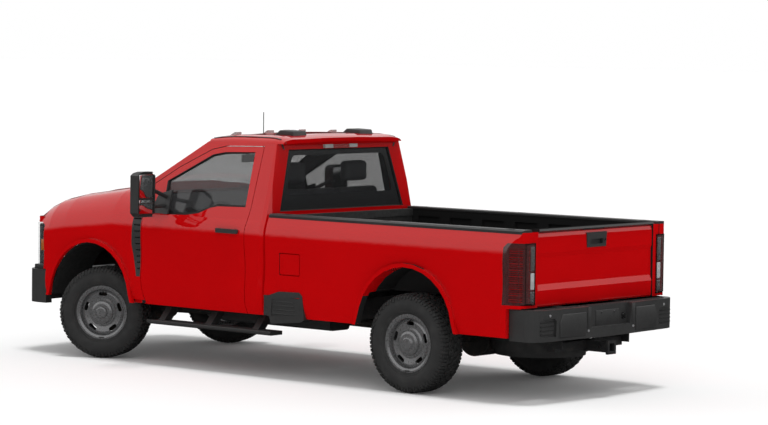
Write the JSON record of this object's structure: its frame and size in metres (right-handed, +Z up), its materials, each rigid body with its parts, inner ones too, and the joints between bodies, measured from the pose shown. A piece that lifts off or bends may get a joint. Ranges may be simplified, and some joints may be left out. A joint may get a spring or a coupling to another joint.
{
  "type": "pickup truck",
  "caption": "Full-size regular-cab pickup truck with a long open bed, live axles, tow mirrors, steerable front wheels, opening doors, hood and tailgate.",
  "frame": {"origin": "on the ground under the middle of the truck's bounding box", "axes": "+Z up, the front of the truck faces -Y, the driver's side is +X"},
  "size_m": [2.69, 5.888, 2.14],
  "materials": {
    "body_paint": "gloss",
    "black_plastic": "textured",
    "tyre": "matte",
    "wheel_steel": "satin",
    "chassis": "satin",
    "cast_parts": "rough",
    "steel_pipe": "dull",
    "tinted_glass": "clear",
    "lamp_clear": "clear",
    "lamp_red": "gloss",
    "seat_cloth": "woven",
    "tank_plastic": "plain"
  },
  "bodies": {
    "truck": {"spare_wheel": "tyre", "front_axle": "cast_parts", "rear_axle": "cast_parts", "engine_block": "cast_parts", "gearbox_and_shafts": "cast_parts", "frame_rails": "chassis", "front_suspension": "chassis", "rear_suspension": "chassis", "hitch_receiver": "chassis", "hitch_pin_bosses": "chassis", "exhaust": "steel_pipe", "radiator": "steel_pipe", "fuel_tank": "tank_plastic", "cab_body": "body_paint", "cab_roof": "body_paint", "fender_left": "body_paint", "fender_right": "body_paint", "bed_side_left": "body_paint", "bed_side_right": "body_paint", "nose_panel": "body_paint", "cab_glass": "tinted_glass", "headlamps": "lamp_clear", "roof_lamps": "lamp_clear", "tail_lamps": "lamp_red", "bench_seat": "seat_cloth", "dashboard": "black_plastic", "wheel_liners": "black_plastic", "cowl": "black_plastic", "grille": "black_plastic", "front_bumper": "black_plastic", "bed_floor": "black_plastic", "bed_front_wall": "black_plastic", "bed_rail_caps": "black_plastic", "rear_bumper": "black_plastic", "side_steps": "black_plastic", "fender_trim": "black_plastic"},
    "knuckle_left": {"knuckle_left": "cast_parts"},
    "knuckle_right": {"knuckle_right": "cast_parts"},
    "tie_rod": {"tie_rod": "chassis"},
    "wheel_front_left": {"rim_front_left": "wheel_steel", "tyre_front_left": "tyre"},
    "wheel_front_right": {"rim_front_right": "wheel_steel", "tyre_front_right": "tyre"},
    "wheel_rear_left": {"rim_rear_left": "wheel_steel", "tyre_rear_left": "tyre"},
    "wheel_rear_right": {"rim_rear_right": "wheel_steel", "tyre_rear_right": "tyre"},
    "door_left": {"door_left": "body_paint", "door_glass_left": "tinted_glass", "door_handle_left": "black_plastic", "mirror_left": "black_plastic"},
    "door_right": {"door_right": "body_paint", "door_glass_right": "tinted_glass", "door_handle_right": "black_plastic", "mirror_right": "black_plastic"},
    "tailgate": {"tailgate": "body_paint", "tailgate_handle": "black_plastic"},
    "hood": {"hood": "body_paint"},
    "fuel_door": {"fuel_door": "body_paint"},
    "steering_wheel": {"steering_wheel": "black_plastic"}
  },
  "joints": [
    {"name": "steer_left", "type": "hinge", "parent": "truck", "child": "knuckle_left", "pos_m": [0.7275, -1.974, 0.401], "axis": [0, 0, 1], "range_deg": [-57, 9]},
    {"name": "steer_right", "type": "hinge", "parent": "truck", "child": "knuckle_right", "pos_m": [-0.7275, -1.974, 0.401], "axis": [0, 0, 1], "range_deg": [-57, 9]},
    {"name": "tie_rod_turn", "type": "hinge", "parent": "knuckle_left", "child": "tie_rod", "pos_m": [0.79748, -2.16724, 0.339], "axis": [0, 0, 1], "range_deg": [-9, 57]},
    {"name": "wheel_front_left_spin", "type": "hinge", "parent": "knuckle_left", "child": "wheel_front_left", "pos_m": [0.8554, -1.91706, 0.401], "axis": [0.9135, 0.4067, 0], "continuous": true},
    {"name": "wheel_front_right_spin", "type": "hinge", "parent": "knuckle_right", "child": "wheel_front_right", "pos_m": [-0.8554, -2.03094, 0.401], "axis": [0.9135, 0.4067, 0], "continuous": true},
    {"name": "wheel_rear_left_spin", "type": "hinge", "parent": "truck", "child": "wheel_rear_left", "pos_m": [0.8535, 1.623, 0.401], "axis": [1, 0, 0], "continuous": true},
    {"name": "wheel_rear_right_spin", "type": "hinge", "parent": "truck", "child": "wheel_rear_right", "pos_m": [-0.8535, 1.623, 0.401], "axis": [1, 0, 0], "continuous": true},
    {"name": "steering_wheel_turn", "type": "hinge", "parent": "truck", "child": "steering_wheel", "pos_m": [0.4, -0.9, 1.235], "axis": [0, 0.8829, 0.4695], "range_deg": [-912, 144]},
    {"name": "door_left_hinge", "type": "hinge", "parent": "truck", "child": "door_left", "pos_m": [0.943, -1.25, 0.9], "axis": [0, 0, -1], "range_deg": [0, 65]},
    {"name": "door_right_hinge", "type": "hinge", "parent": "truck", "child": "door_right", "pos_m": [-0.943, -1.25, 0.9], "axis": [0, 0, 1], "range_deg": [0, 65]},
    {"name": "tailgate_hinge", "type": "hinge", "parent": "truck", "child": "tailgate", "pos_m": [0, 2.712, 0.812], "axis": [-1, 0, 0], "range_deg": [0, 90]},
    {"name": "hood_hinge", "type": "hinge", "parent": "truck", "child": "hood", "pos_m": [0, -1.698, 1.466], "axis": [-1, 0, 0], "range_deg": [0, 50]},
    {"name": "fuel_door_hinge", "type": "hinge", "parent": "truck", "child": "fuel_door", "pos_m": [0.978, 0.28, 0.958], "axis": [0, 0, -1], "range_deg": [0, 85]}
  ],
  "couplings": [
    {"joint": "steer_right", "follows": "steer_left", "ratio": 1},
    {"joint": "tie_rod_turn", "follows": "steer_left", "ratio": -1},
    {"joint": "steering_wheel_turn", "follows": "steer_left", "ratio": 16}
  ]
}
